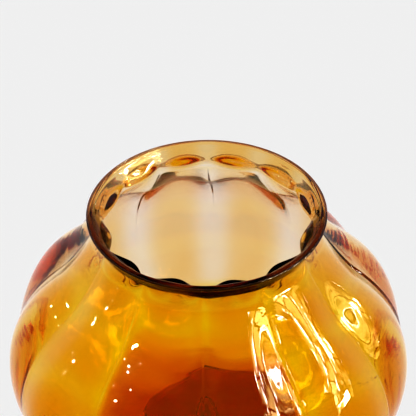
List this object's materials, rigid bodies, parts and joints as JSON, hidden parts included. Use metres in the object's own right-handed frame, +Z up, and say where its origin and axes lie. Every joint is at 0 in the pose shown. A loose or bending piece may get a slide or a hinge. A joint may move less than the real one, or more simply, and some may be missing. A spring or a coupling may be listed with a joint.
{
  "type": "glass vase",
  "caption": "Hand blown amber art glass vase: a low globe of soft vertical lobes with a short flared neck, a fine darker thread round the rim and a low foot; holds flowers.",
  "frame": {"origin": "centre of the foot's flat underside", "axes": "+Z up along the axis of the vase, -Y to the front, where a valley between two lobes faces; the lobes repeat evenly about Z"},
  "size_m": [0.201, 0.201, 0.166],
  "materials": {
    "amber_glass": "clear amber blown glass, fire polished",
    "dark_amber_glass": "deeper amber glass thread, fire polished",
    "foot_glass": "thick red-brown amber glass, ground flat underneath",
    "pontil_glass": "rough broken amber glass"
  },
  "bodies": {
    "root": {"body": "amber_glass", "lip_wrap": "dark_amber_glass", "foot": "foot_glass", "pontil_button": "pontil_glass"}
  },
  "joints": []
}
